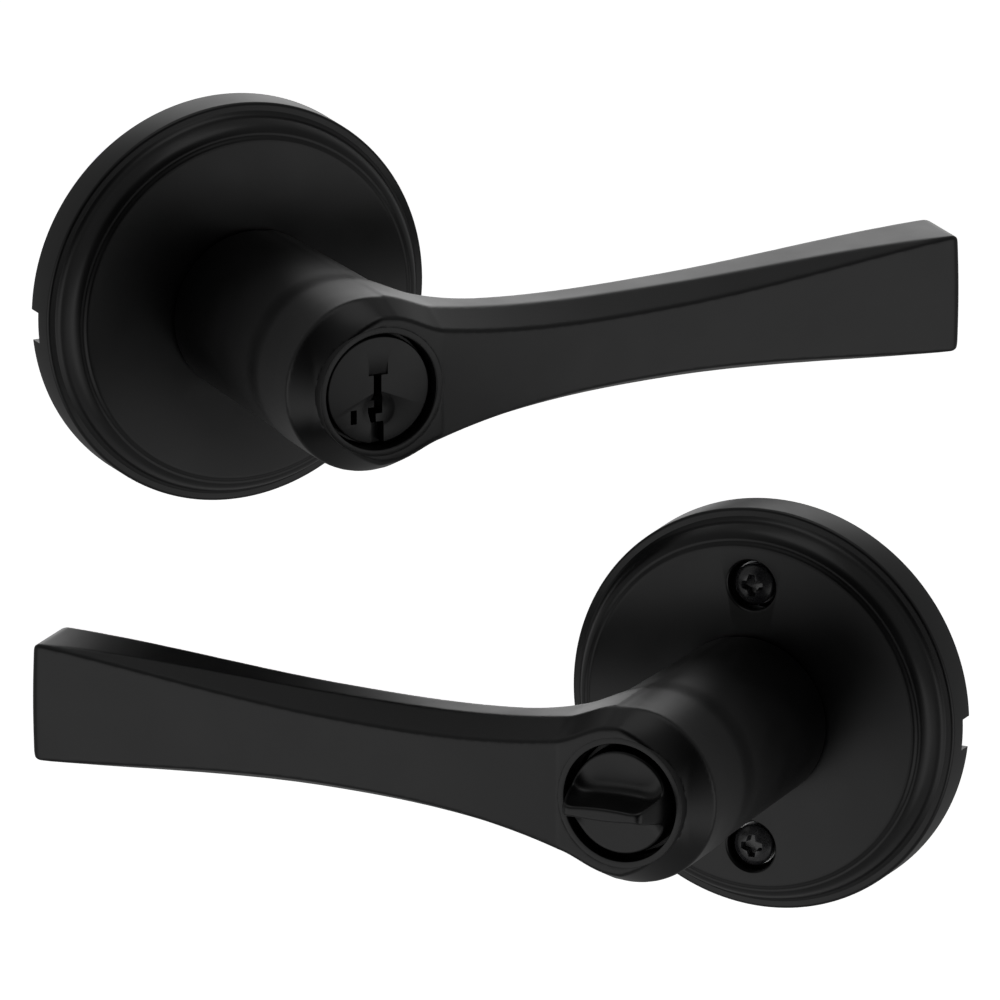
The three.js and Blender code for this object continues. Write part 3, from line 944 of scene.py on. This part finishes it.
def drive_tube():
    """The split tube that works the latch, and the flange that holds it in the sleeve."""
    opening = math.degrees(TUBE_OPENING)
    outline = arc((0, 0), TUBE_OUTER, opening, 360 - opening, 56)
    outline += arc((0, 0), TUBE_INNER, 360 - opening, opening, 56)
    piece = prism("drive_tube_body", outline, DOOR_REACH, TUBE_TOP)
    soften(piece, 0.2)
    body = OUTSIDE.lever_body
    finish_piece(piece, OUTSIDE, body, PLATED, ["drive_tube"])
    plain_ring("drive_tube_flange", OUTSIDE, body, "plated_steel",
               TUBE_INNER, SLEEVE_INNER - 0.3, TUBE_TOP - 2, TUBE_TOP)


def flat_bar(name, half, body, node):
    """A bar that carries the plug's or the button's turn to the latch."""
    piece = prism(name, rectangle(-2.2, 2.2, -0.8, 0.8), DOOR_REACH, BAR_TOP)
    soften(piece, 0.25)
    finish_piece(piece, half, body, PLATED, [node])


def hidden_pieces():
    """The CAD solids inside the set keep their shapes and get their metals."""
    replaced = set()
    for piece in bpy.context.scene.objects:
        replaced.update(piece.get("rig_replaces", []))
    slots = {s["node"]: s["material_slot"] for s in frame["record"]["subparts"]}
    for name, node in frame["nodes"].items():
        if name not in replaced:
            node.data.materials.clear()
            node.data.materials.append(MATERIALS[slots[name]])


# ---------------------------------------------------------------- studio

def camera():
    """A very long lens, so that the view is nearly parallel, looking down a little."""
    data = bpy.data.cameras.new("camera")
    data.lens = VIEW_LENS
    data.sensor_width = SENSOR
    data.clip_end = 40
    eye = bpy.data.objects.new("camera", data)
    bpy.context.scene.collection.objects.link(eye)
    azimuth, elevation = math.radians(VIEW_AZIMUTH), math.radians(VIEW_ELEVATION)
    back = Vector((-math.sin(azimuth) * math.cos(elevation),
                   -math.cos(azimuth) * math.cos(elevation), math.sin(elevation)))
    middle = (OUTSIDE.matrix.translation + INSIDE.matrix.translation) / 2 + VIEW_SHIFT * MM
    eye.location = middle + back * (VIEW_WIDTH * MM * VIEW_LENS / SENSOR)
    eye.rotation_euler = back.to_track_quat("Z", "Y").to_euler()
    bpy.context.scene.camera = eye


def overhead_light():
    """A square soft light above the set."""
    data = bpy.data.lights.new("overhead", "AREA")
    data.size = OVERHEAD_SIZE
    data.energy = OVERHEAD_WATTS
    light = bpy.data.objects.new("overhead", data)
    bpy.context.scene.collection.objects.link(light)
    light.location = OVERHEAD_PLACE
    facing = Vector(OVERHEAD_PLACE) - Vector(OVERHEAD_TARGET)
    light.rotation_euler = facing.to_track_quat("Z", "Y").to_euler()
    light.visible_camera = False


def floor():
    """A pale floor that glows, so that it shows as white as the background. It stays out of
    reflections."""
    low = cad_low.z - FLOOR_DROP
    points = [(x, y, low) for x, y in rectangle(-FLOOR_SIZE, FLOOR_SIZE, -FLOOR_SIZE, FLOOR_SIZE)]
    piece = new_piece("floor", points, [(0, 1, 2, 3)])
    material, shader = shader_of("pale_floor", 0)
    shader.inputs["Base Color"].default_value = (0.92, 0.92, 0.92, 1)
    shader.inputs["Roughness"].default_value = 0.9
    shader.inputs["Specular IOR Level"].default_value = 0
    shader.inputs["Emission Color"].default_value = (1, 1, 1, 1)
    shader.inputs["Emission Strength"].default_value = FLOOR_GLOW
    piece.data.materials.append(material)
    piece.visible_glossy = False


def world():
    """A dim room with a soft light behind the set and one to each side of the viewer, who
    stands in the dark. The background itself is white."""
    backdrop = bpy.data.worlds.new("studio")
    backdrop.use_nodes = True
    tree = backdrop.node_tree
    direction = tree.nodes.new("ShaderNodeTexCoord").outputs["Generated"]
    room = ROOM
    for axis, edge, full, light in SOFT_LIGHTS:
        glow = lobe(tree, direction, axis, edge, full, 0, light)
        room = math_node(tree, "ADD", glow, room)
    shade = lobe(tree, direction, VIEWER_SIDE, 0.55, 0.9, 1, 0.03)
    room = math_node(tree, "MULTIPLY", room, shade)
    seen = tree.nodes.new("ShaderNodeLightPath").outputs["Is Camera Ray"]
    strength = math_node(tree, "MAXIMUM", room, seen)
    background = tree.nodes["Background"]
    background.inputs["Color"].default_value = (1, 1, 1, 1)
    tree.links.new(strength, background.inputs["Strength"])
    bpy.context.scene.world = backdrop


def lobe(tree, direction, axis, edge, full, outside, inside):
    """A value that changes smoothly from one level to another round an axis."""
    facing = tree.nodes.new("ShaderNodeVectorMath")
    facing.operation = "DOT_PRODUCT"
    facing.inputs[1].default_value = axis
    tree.links.new(direction, facing.inputs[0])
    ramp = tree.nodes.new("ShaderNodeMapRange")
    ramp.interpolation_type = "SMOOTHSTEP"
    ramp.inputs["From Min"].default_value = edge
    ramp.inputs["From Max"].default_value = full
    ramp.inputs["To Min"].default_value = outside
    ramp.inputs["To Max"].default_value = inside
    tree.links.new(facing.outputs["Value"], ramp.inputs["Value"])
    return ramp.outputs["Result"]


def math_node(tree, operation, first, second):
    """One sum on two values, each of them a number or another node's output."""
    node = tree.nodes.new("ShaderNodeMath")
    node.operation = operation
    for socket, value in zip(node.inputs, (first, second)):
        if isinstance(value, float):
            socket.default_value = value
        else:
            tree.links.new(value, socket)
    return node.outputs["Value"]


def studio():
    """The camera, the floor and the lights."""
    bpy.context.scene.view_settings.view_transform = "Standard"
    camera()
    floor()
    world()
    overhead_light()


rose(OUTSIDE, False)
rose(INSIDE, True)
levers()
plug()
turn_button()
screw("screw_upper", SCREW_OFFSET)
screw("screw_lower", -SCREW_OFFSET)
post("post_upper", SCREW_OFFSET)
post("post_lower", -SCREW_OFFSET)
for half in (OUTSIDE, INSIDE):
    mounting_plate(half, half is INSIDE)
    sleeve(half)
    bearing(half)
drive_tube()
flat_bar("tailpiece_body", OUTSIDE, "plug", "tailpiece")
flat_bar("lock_bar_body", INSIDE, "turn_button", "lock_bar")
hidden_pieces()
studio()
